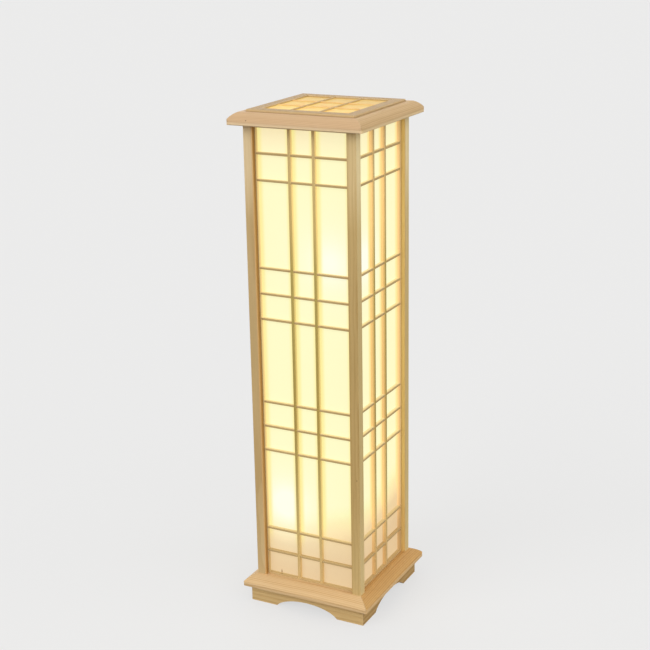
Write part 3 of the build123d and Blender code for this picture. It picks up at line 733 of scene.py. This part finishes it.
def store(geometry, name, value, domain="POINT"):
    return shape(treeOf(geometry), "StoreNamedAttribute", {
        "Geometry": geometry, "Name": name, "Value": value}, data_type="FLOAT_VECTOR", domain=domain)


def read(tree, name, dataType="FLOAT_VECTOR"):
    return shape(tree, "InputNamedAttribute", {"Name": name}, data_type=dataType)


def joinXYZ(x, y, z):
    return addNode(treeOf(x, y, z), "ShaderNodeCombineXYZ", {0: x, 1: y, 2: z}).outputs[0]


def turnOfPoint(tree):
    return addNode(tree, "FunctionNodeEulerToRotation", {0: read(tree, "turn")}).outputs[0]


def onPoints(tree, given, instance, placing=None):
    return shape(tree, "InstanceOnPoints", {
        "Points": given["Geometry"], "Instance": instance, **(placing or {})})


def closeShape(tree, given, made, row):
    # The material goes on last
    row = shape(tree, "SetMaterial", {"Geometry": row, "Material": given["Material"]})
    return feed(tree, made, {"Geometry": row})


def barTree():
    # A bar of rounded section on each point, turned and as long as the point says
    tree, given, made = newGroup("latticeBar", "GeometryNodeTree", [
        ("Geometry", "Geometry", None), ("Depth", "Float", 0.007), ("Width", "Float", 0.005),
        ("Arris", "Float", 0.0005), ("Seed", "Int", 1), ("Material", "Material", None),
    ], [("Geometry", "Geometry")])
    section = shape(tree, "CurvePrimitiveQuadrilateral", {"Width": given["Depth"], "Height": given["Width"]})
    section = shape(tree, "FilletCurve", {
        "Curve": section, "Count": 2, "Radius": given["Arris"]}, mode="POLY")
    line = shape(tree, "CurvePrimitiveLine", {"Start": (-0.5, 0.0, 0.0), "End": (0.5, 0.0, 0.0)})
    bar = shape(tree, "CurveToMesh", {"Curve": line, "Profile Curve": section, "Fill Caps": True})
    bar = store(bar, "barSpot", pointPlace(tree))
    size = joinXYZ(read(tree, "reach", "FLOAT"), 1.0, 1.0)
    row = onPoints(tree, given, bar, {"Rotation": turnOfPoint(tree), "Scale": size})
    # each bar is cut from its own place in the wood
    spread = {"Min": (0.0,) * 3, "Max": (7.0, 0.4, 0.4), "Seed": given["Seed"]}
    shift = addNode(tree, "FunctionNodeRandomValue", spread, data_type="FLOAT_VECTOR").outputs[0]
    row = store(row, "barShift", shift, "INSTANCE")
    row = store(row, "barSize", size, "INSTANCE")
    row = shape(tree, "RealizeInstances", {0: row})
    spot = vectorCalc("MULTIPLY", read(tree, "barSpot"), read(tree, "barSize"))
    spot = vectorCalc("ADD", spot, read(tree, "barShift"))
    return closeShape(tree, given, made, store(row, "grainSpot", spot))


def newObject(name, data):
    piece = bpy.data.objects.new(name, data)
    bpy.context.scene.collection.objects.link(piece)
    return piece


def pointObject(name, points):
    # points is [(place, turn, reach)]
    mesh = bpy.data.meshes.new(name)
    mesh.from_pydata([tuple(spot) for spot, turn, reach in points], [], [])
    mesh.attributes.new("turn", "FLOAT_VECTOR", "POINT")
    mesh.attributes.new("reach", "FLOAT", "POINT")
    for i, (_, turn, reach) in enumerate(points):
        mesh.attributes["turn"].data[i].vector = turn
        mesh.attributes["reach"].data[i].value = reach
    return newObject(name, mesh)


def grow(piece, tree, values):
    # The tree's result as the piece's own plain mesh
    modifier = piece.modifiers.new("grow", "NODES")
    modifier.node_group = tree
    for item in tree.interface.items_tree:
        if item.in_out == "INPUT" and item.name in values:
            modifier[item.identifier] = values[item.name]
    piece.update_tag()
    graph = bpy.context.evaluated_depsgraph_get()
    mesh = bpy.data.meshes.new_from_object(piece.evaluated_get(graph), depsgraph=graph)
    piece.modifiers.remove(modifier)
    points, piece.data = piece.data, mesh
    mesh.name = piece.name
    for label in ("barSpot", "barSize", "barShift", "turn", "reach"):
        if label in mesh.attributes:
            mesh.attributes.remove(mesh.attributes[label])
    bpy.data.meshes.remove(points)
    return piece


def handOver(piece, body, slot, *replaced):
    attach(piece, body)
    if replaced:
        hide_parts(*replaced)
    return piece


latticeBar = barTree()
lattice = {
    "back": 0.0895, "upright": 0.0050, "uprightDepth": 0.0075, "uprightOffset": 0.0225,
    "crossbar": 0.0040, "crossbarDepth": 0.0065, "arris": 0.0005,
    "smallPane": 0.0414, "clearHalf": 0.0850, "clearFoot": 0.0550, "clearHead": 0.8702,
    "panes": "ssLssLssLss",       # small and large panes, from the head down
    "crossbarSeed": 3, "uprightSeed": 8,
}


def crossbarLevels():
    gaps = lattice["panes"]
    height = lattice["clearHead"] - lattice["clearFoot"] - (len(gaps) - 1) * lattice["crossbar"]
    large = (height - gaps.count("s") * lattice["smallPane"]) / gaps.count("L")
    levels, level = [], lattice["clearHead"]
    for gap in gaps[:-1]:
        level -= (lattice["smallPane"] if gap == "s" else large) + lattice["crossbar"]
        levels.append(level + lattice["crossbar"] / 2)
    return levels


def onSide(angle, x, y, z):
    return Matrix.Rotation(math.radians(angle), 3, "Z") @ Vector((x, y, z))


def barPoint(angle, spot, reach, standing=False):
    tilt = math.pi / 2 if standing else 0.0
    return (onSide(angle, *spot), (0.0, tilt, math.radians(angle)), reach)


def growBars(name, points, depth, width, arris, seed, material):
    return grow(pointObject(name, points), latticeBar, {
        "Depth": depth, "Width": width, "Arris": arris, "Seed": seed, "Material": material})


latticePine = pineMaterial("latticePine", "lattice", "x", attribute="grainSpot", glow=True)
uprightPine = pineMaterial("uprightPine", "upright", "x", attribute="grainSpot", glow=True)
crossbarOut = -(lattice["back"] + lattice["crossbarDepth"] / 2)
uprightOut = -(lattice["back"] + lattice["uprightDepth"] / 2)
middle, tall = (lattice["clearFoot"] + lattice["clearHead"]) / 2, lattice["clearHead"] - lattice["clearFoot"]
crossbarPoints = [barPoint(angle, (0.0, crossbarOut, level), 2 * lattice["clearHalf"])
                  for angle in sides.values() for level in crossbarLevels()]
uprightPoints = [barPoint(angle, (way * lattice["uprightOffset"], uprightOut, middle), tall, True)
                 for angle in sides.values() for way in (-1, 1)]
crossbars = growBars("latticeCrossbars", crossbarPoints, lattice["crossbarDepth"], lattice["crossbar"],
                     lattice["arris"], lattice["crossbarSeed"], latticePine)
handOver(crossbars, "lamp_body", "lattice_pine", *[side + "_lattice_crossbars" for side in sides])
uprights = growBars("latticeUprights", uprightPoints, lattice["uprightDepth"], lattice["upright"],
                    lattice["arris"], lattice["uprightSeed"], uprightPine)
handOver(uprights, "lamp_body", "lattice_pine", *[side + "_lattice_uprights" for side in sides])

lidBars = {
    "width": 0.0026, "top": 0.9000, "foot": 0.8976, "drop": 0.0008, "half": 0.0800, "offset": 0.0800 / 3,
    "arris": 0.0004, "seed": 5,
    "through": "8c6c34",          # the paper's light through the thin bars that run across
}
lidBarPine = {way: pineMaterial("lidBars" + way + "Pine", "lidFrame", "x", attribute="grainSpot")
              for way in ("Lengthwise", "Crosswise")}
shader = lidBarPine["Crosswise"].node_tree.nodes["Principled BSDF"]
shader.inputs["Emission Strength"].default_value = 1.0
shader.inputs["Emission Color"].default_value = colour(lidBars["through"])
for way, drop, quarter in (("Lengthwise", 0.0, 90), ("Crosswise", lidBars["drop"], 0)):
    top = lidBars["top"] - drop
    points = [barPoint(quarter, (0.0, y, (top + lidBars["foot"]) / 2), 2 * lidBars["half"])
              for y in (-lidBars["offset"], lidBars["offset"])]
    bars = growBars("lidBars" + way, points, lidBars["width"], top - lidBars["foot"],
                    lidBars["arris"], lidBars["seed"] + quarter, lidBarPine[way])
    handOver(bars, "lid", "lid_pine", "lid_bars_" + way.lower())
print("lattice: bars grown on four sides and the lid")


# Screws

def screwTree():
    # A countersunk screw with a cross recess on each point, its head there and its tip below
    tree, given, made = newGroup("woodScrew", "GeometryNodeTree", [
        ("Geometry", "Geometry", None), ("Head Radius", "Float", 0.0036), ("Head Height", "Float", 0.0024),
        ("Shank Radius", "Float", 0.0018), ("Tip Radius", "Float", 0.0005), ("Length", "Float", 0.020),
        ("Recess Width", "Float", 0.0009), ("Recess Depth", "Float", 0.0012), ("Material", "Material", None),
    ], [("Geometry", "Geometry")])

    def cone(vertices, top, bottom, depth):
        return shape(tree, "MeshCone", {
            "Vertices": vertices, "Radius Top": top, "Radius Bottom": bottom, "Depth": depth})

    def lowered(solid, drop):
        down = joinXYZ(0.0, 0.0, times(drop, -1.0))
        return shape(tree, "Transform", {"Geometry": solid, "Translation": down})

    neck = times(given["Head Height"], 0.5)
    head = cone(40, given["Head Radius"], given["Shank Radius"], given["Head Height"])
    shank = cone(24, given["Shank Radius"], given["Tip Radius"], minus(given["Length"], neck))
    screw = addNode(tree, "GeometryNodeMeshBoolean", operation="UNION")
    tree.links.new(lowered(head, given["Head Height"]), screw.inputs["Mesh 2"])
    tree.links.new(lowered(shank, given["Length"]), screw.inputs["Mesh 2"])
    recessed = addNode(tree, "GeometryNodeMeshBoolean", {"Mesh 1": screw.outputs["Mesh"]},
                       operation="DIFFERENCE")
    long, wide = times(given["Head Radius"], 1.3), given["Recess Width"]
    deep = times(given["Recess Depth"], 2.0)
    for size in (joinXYZ(long, wide, deep), joinXYZ(wide, long, deep)):
        tree.links.new(shape(tree, "MeshCube", {"Size": size}), recessed.inputs["Mesh 2"])
    row = onPoints(tree, given, recessed.outputs["Mesh"], {"Rotation": turnOfPoint(tree)})
    return closeShape(tree, given, made, shape(tree, "RealizeInstances", {0: row}))


fastenings = {
    "boardFoot": 0.0222, "boardScrewOffset": 0.09235, "boardScrewSpread": 0.110, "boardScrewLength": 0.020,
    "pairSpread": 0.016, "holderFloor": 0.008, "holderScrewLength": 0.022,
    "terminalSpot": (0.0, 0.025), "terminalTop": 0.0452, "wellSpacing": 0.009, "wellDepth": 0.0035,
    "terminalScrew": {"Head Radius": 0.0022, "Head Height": 0.0008, "Shank Radius": 0.0012, "Length": 0.0014,
                      "Tip Radius": 0.0010, "Recess Width": 0.0006, "Recess Depth": 0.0004},
    "firstTurn": 0.7, "nextTurn": 1.9,      # each recess stands its own way, in radians
}


def pairAbout(spot):
    return [(spot[0] + way * fastenings["pairSpread"] / 2, spot[1]) for way in (-1, 1)]


def screwPoints(spots, level, down=False):
    tilt = math.pi if down else 0.0
    return [((*spot, level), (tilt, 0.0, fastenings["firstTurn"] + fastenings["nextTurn"] * i), 1.0)
            for i, spot in enumerate(spots)]


def fitScrews(name, points, finish, values, slot, *replaced):
    screws = grow(pointObject(name, points), woodScrew, {**values, "Material": finishes[finish]})
    handOver(screws, "lamp_body", slot, *replaced)


woodScrew = screwTree()
boardSpots = [onSide(angle, way * fastenings["boardScrewSpread"] / 2, -fastenings["boardScrewOffset"], 0.0).xy
              for angle in sides.values() for way in (-1, 1)]
boardSpots += [spot for bulb in bulbs.values() for spot in pairAbout(bulb["spot"])]
fitScrews("boardScrews", screwPoints(boardSpots, fastenings["boardFoot"], True),
          "screwSteel", {"Length": fastenings["boardScrewLength"]}, "screw_steel", "board_screws")
holderPoints = [point for bulb in bulbs.values()
                for point in screwPoints(pairAbout(bulb["spot"]), bulb["foot"] + fastenings["holderFloor"])]
fitScrews("holderScrews", holderPoints,
          "screwSteel", {"Length": fastenings["holderScrewLength"]}, "screw_steel", "holder_screws")
x, y = fastenings["terminalSpot"]
wellSpots = [(x + i * fastenings["wellSpacing"], y + j * fastenings["wellSpacing"])
             for i in (-1, 0, 1) for j in (-0.5, 0.5)]
fitScrews("terminalScrews", screwPoints(wellSpots, fastenings["terminalTop"] - fastenings["wellDepth"]),
          "contactBrass", fastenings["terminalScrew"], "contact_brass")
print("screws: board, lampholders and terminal block fitted")


# Bulbs and lampholders

def threadTree():
    # A sleeve whose wall rolls in and out, climbing one pitch each turn, closed at both ends
    tree, given, made = newGroup("rolledThread", "GeometryNodeTree", [
        ("Geometry", "Geometry", None), ("Crest Radius", "Float", 0.0132), ("Depth", "Float", 0.0007),
        ("Pitch", "Float", 0.0036), ("Length", "Float", 0.0216), ("Around", "Int", 97), ("Levels", "Int", 99),
        ("Material", "Material", None),
    ], [("Geometry", "Geometry")])
    grid = shape(tree, "MeshGrid", {
        "Size X": 1.0, "Size Y": 1.0, "Vertices X": given["Around"], "Vertices Y": given["Levels"]})
    flat = split(pointPlace(tree))
    turns = plus(flat[0], 0.5)
    last = minus(given["Levels"], 1.0)
    row = times(plus(flat[1], 0.5), last)
    level = remap(row, 1.0, minus(last, 1.0), 0.0, given["Length"], "LINEAR")
    # the first and the last row close the ends
    wall = times(calc("GREATER_THAN", row, 0.5),
                 calc("LESS_THAN", row, minus(last, 0.5)))
    phase = minus(over(level, given["Pitch"]), turns)
    wave = calc("COSINE", times(phase, 2 * math.pi))
    runOut = times(given["Pitch"], 0.5)
    fadeOut = remap(level, minus(given["Length"], runOut), given["Length"], 1.0, 0.0)
    fade = times(remap(level, 0.0, runOut), fadeOut)
    rise = minus(times(times(wave, fade), 0.5), 0.5)
    radius = times(calc("MULTIPLY_ADD", rise, given["Depth"], given["Crest Radius"]), wall)
    angle = times(turns, 2 * math.pi)
    rolled = joinXYZ(times(radius, calc("COSINE", angle)),
                     times(radius, calc("SINE", angle)), level)
    sleeve = shape(tree, "SetPosition", {"Geometry": grid, "Position": rolled})
    sleeve = shape(tree, "MergeByDistance", {"Geometry": sleeve, "Distance": 0.00002})
    sleeve = shape(tree, "SetShadeSmooth", {"Geometry": sleeve})
    row = shape(tree, "RealizeInstances", {0: onPoints(tree, given, sleeve)})
    return closeShape(tree, given, made, row)


def turned(name, spot, foot, outline, material, around=72, sharp=32.0):
    # A closed shape turned about the upright through a spot; the outline is (radius, height) in
    # millimetres, from the axis out along the underside, up, and back to the axis
    corners, faces, rings = [], [], []
    for radius, height in outline:
        count = around if radius else 1
        rings.append(range(len(corners), len(corners) + count))
        for i in range(count):
            angle = 2 * math.pi * i / around
            corners.append((spot[0] + radius / 1000 * math.cos(angle),
                            spot[1] + radius / 1000 * math.sin(angle), foot + height / 1000))
    for lower, upper in zip(rings, rings[1:]):
        for i in range(around):
            j = (i + 1) % around
            face = [lower[i % len(lower)], lower[j % len(lower)],
                    upper[j % len(upper)], upper[i % len(upper)]]
            faces.append(list(dict.fromkeys(face)))
    mesh = bpy.data.meshes.new(name)
    mesh.from_pydata(corners, [], faces)
    mesh.shade_smooth()
    mesh.set_sharp_from_angle(angle=math.radians(sharp))
    mesh.materials.append(material)
    return newObject(name, mesh)


def arc(middle, radius, start, end, steps=6):
    # Points of a rounding, angles in degrees from the outward level line
    angles = [math.radians(start + (end - start) * i / steps) for i in range(steps + 1)]
    return [(middle[0] + radius * math.cos(a), middle[1] + radius * math.sin(a)) for a in angles]


holderOutline = [(0, 0), (18.2, 0), (19, 0.8), (19, 9.5), *arc((18.6, 10.6), 0.6, -90, -180, 4),
                 *arc((18.6, 12.0), 0.6, 180, 90, 4), (19, 13.1), (19, 36.3), *arc((17.4, 36.3), 1.6, 0, 90),
                 (16.0, 38), (15.2, 37.2), (15.2, 8), (0, 8)]
capLook = {
    "tip": 0.011, "threadFoot": 0.006, "threadLength": 0.0216,
    "solder": [(0, 0), (3.2, 0), (4.4, 0.5), (5.0, 1.5), (5.0, 2.5), (0, 2.5)],
    "glass": [(0, 2.5), (5.6, 2.5), (8.2, 3.2), (10.6, 4.4), (12.2, 5.6), (12.5, 6.0), (0, 6.0)],
}
collarLook = {
    "around": 96,
    "outline": [(0, 0), (13.6, 0), (14.0, 0.4), (14.0, 2.6), (14.5, 3.2), (15.2, 4.6), (16.3, 8.0),
                (18.3, 13.5), (20.9, 19.5), (23.6, 25.0), (25.6, 29.0), (26.8, 31.8), (27.0, 32.4),
                (26.6, 32.7), (26.6, 33.1), (27.2, 33.3), (27.4, 34.0), (0, 34.0)],
}
rolledThread = threadTree()
for name, bulb in bulbs.items():
    spot, body, cap = bulb["spot"], name + "_bulb", name + "_bulb_cap"
    tip = bulb["foot"] + capLook["tip"]
    threadFoot = tip + capLook["threadFoot"]
    handOver(turned(name + "Lampholder", spot, bulb["foot"], holderOutline, finishes["holderCeramic"]),
             "lamp_body", "holder_ceramic", name + "_lampholder")
    handOver(turned(name + "CapSolder", spot, tip, capLook["solder"], finishes["capSolder"]),
             body, "cap_metal", cap)
    handOver(turned(name + "CapGlass", spot, tip, capLook["glass"], finishes["capGlass"]),
             body, "cap_metal", cap)
    thread = grow(pointObject(name + "CapThread", [((*spot, threadFoot), (0, 0, 0), 1.0)]), rolledThread, {
        "Length": capLook["threadLength"], "Material": finishes["capNickel"]})
    handOver(thread, body, "cap_metal", cap)
    collar = turned(name + "BulbCollar", spot, threadFoot + capLook["threadLength"],
                    collarLook["outline"], finishes["bulbCollarPlastic"], collarLook["around"])
    handOver(collar, body, "bulb_collar", name + "_bulb_collar")
print("bulbs: lampholders, caps, threads and collars turned")


# The floor, the light and the camera

def seenDirectly(tree):
    # 1 for what the camera sees, also in gloss and through glass
    path = addNode(tree, "ShaderNodeLightPath").outputs
    return calc("MAXIMUM", path["Is Camera Ray"],
                calc("MAXIMUM", path["Is Glossy Ray"], path["Is Transmission Ray"]))


floorLook = {"size": 60.0, "colour": "7c7c7c", "lift": 0.632}
floorMesh = bpy.data.meshes.new("studioFloor")
half = floorLook["size"] / 2
floorCorners = [(-half, -half, 0), (half, -half, 0), (half, half, 0), (-half, half, 0)]
floorMesh.from_pydata(floorCorners, [], [(0, 1, 2, 3)])
floorMaterial, tree, shader = newMaterial("studioFloorPaint", {
    "Base Color": colour(floorLook["colour"]), "Roughness": 1.0, "Specular IOR Level": 0.0})
glare = addNode(tree, "ShaderNodeEmission", {
    "Color": (1.0, 1.0, 1.0, 1.0), "Strength": times(seenDirectly(tree), floorLook["lift"])})
both = addNode(tree, "ShaderNodeAddShader", {0: shader.outputs[0], 1: glare.outputs[0]})
tree.links.new(both.outputs[0], tree.nodes["Material Output"].inputs["Surface"])
floorMesh.materials.append(floorMaterial)
floor = newObject("studioFloor", floorMesh)

studio = {"ambient": 0.56, "backdrop": "ebebeb"}
world = bpy.data.worlds.new("studio")
world.use_nodes = True
bpy.context.scene.world = world
tree = world.node_tree
ambient = (studio["ambient"],) * 3 + (1.0,)
shown = mixColours(seenDirectly(tree), ambient, colour(studio["backdrop"]))
tree.links.new(shown, tree.nodes["Background"].inputs["Color"])

lamps = {
    # towards the lamp, share of a plain level, softness in degrees, tint
    "keySun": {"towards": (-0.35, -0.80, 0.48), "level": 0.41, "spread": 50.0, "tint": (1.0, 0.99, 0.97)},
    "fillSun": {"towards": (0.88, -0.28, 0.32), "level": 0.50, "spread": 90.0, "tint": (1.0, 0.97, 0.92)},
    "backSun": {"towards": (-0.45, 0.85, 0.10), "level": 0.32, "spread": 60.0, "tint": (1.0, 0.98, 0.95)},
}
for name, lamp in lamps.items():
    light = bpy.data.lights.new(name, "SUN")
    light.energy = lamp["level"] * math.pi
    light.angle = math.radians(lamp["spread"])
    light.color = lamp["tint"]
    towards = Vector(lamp["towards"])
    newObject(name, light).rotation_euler = towards.to_track_quat("Z", "Y").to_euler()

cameraView = {"azimuth": 27.547, "elevation": 17.39, "roll": -1.022, "distance": 2.450464,
              "acrossShift": -0.011082, "upShift": 0.057925, "focalPixels": 1379.417, "framePixels": 650,
              "sensor": 36.0, "middle": (0.0, 0.0, 0.45)}


def placeCamera():
    view = cameraView
    turn, tilt, roll = (math.radians(view[key]) for key in ("azimuth", "elevation", "roll"))
    back = Vector((math.sin(turn) * math.cos(tilt), -math.cos(turn) * math.cos(tilt), math.sin(tilt)))
    right = Vector((0, 0, 1)).cross(back).normalized()
    up = back.cross(right)
    right, up = (math.cos(roll) * right + math.sin(roll) * up, math.cos(roll) * up - math.sin(roll) * right)
    spot = Vector(view["middle"]) + right * view["acrossShift"] + up * view["upShift"]
    spot += back * view["distance"]
    lens = bpy.data.cameras.new("studioCamera")
    lens.sensor_width = view["sensor"]
    lens.lens = view["focalPixels"] * view["sensor"] / view["framePixels"]
    lens.clip_start, lens.clip_end = 0.05, 100.0
    camera = newObject("studioCamera", lens)
    camera.matrix_world = Matrix.Translation(spot) @ Matrix((right, up, back)).transposed().to_4x4()
    bpy.context.scene.camera = camera


placeCamera()
bpy.context.scene.view_settings.view_transform = "Standard"
print("studio: floor, light and camera set")
